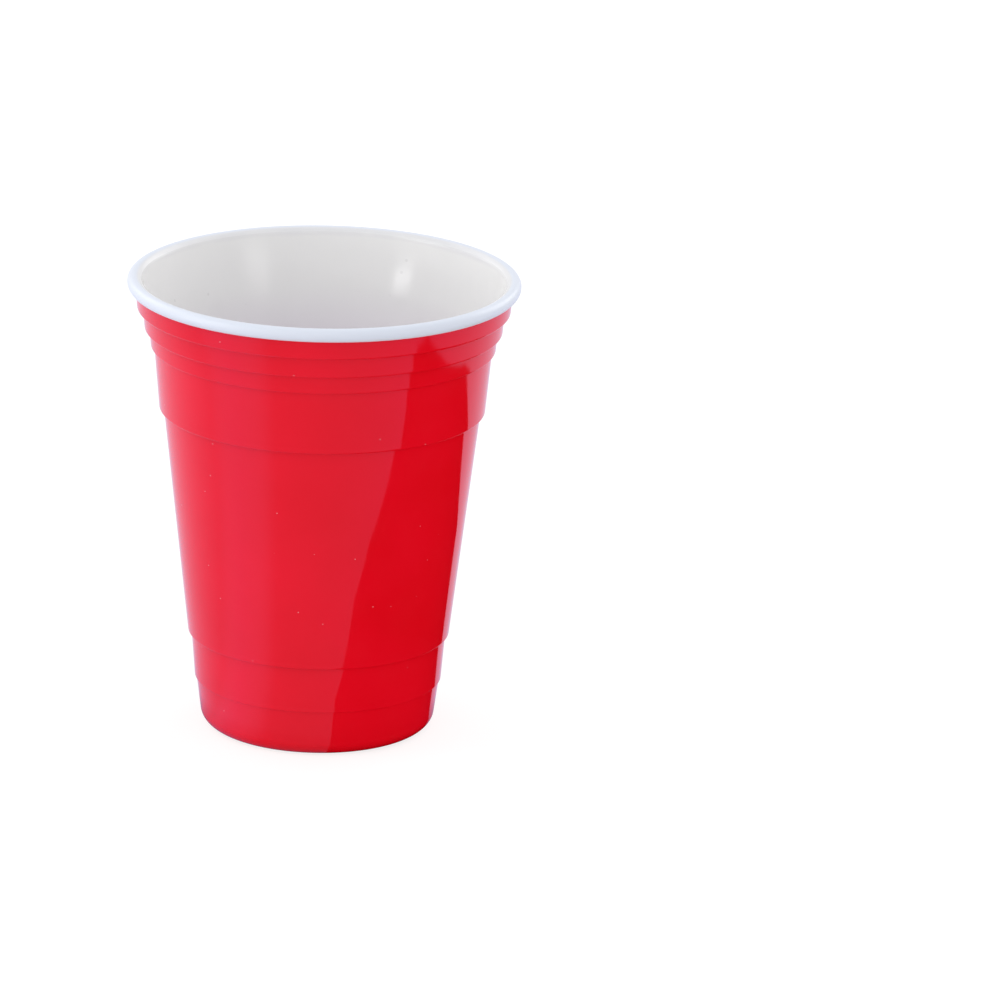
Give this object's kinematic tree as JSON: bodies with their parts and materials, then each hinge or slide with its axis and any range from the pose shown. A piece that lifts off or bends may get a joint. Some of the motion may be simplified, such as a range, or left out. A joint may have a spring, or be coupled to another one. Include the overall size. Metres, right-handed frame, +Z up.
{
  "type": "plastic party cup",
  "caption": "Tapered moulded plastic party cup, red outside and white inside, with stepped rings around its wall, a rounded white bead at the rim and a flat foot.",
  "frame": {"origin": "middle of the foot, on the surface that the cup stands on", "axes": "+Z up along the cup's axis, from the foot to the mouth. The cup is round, so +X and +Y are any two level directions"},
  "size_m": [0.0994, 0.0994, 0.118],
  "materials": {
    "cup": "moulded plastic, smooth and glossy: red outside, white on the rim and the inside"
  },
  "bodies": {
    "root": {"cup": "cup"}
  },
  "joints": []
}
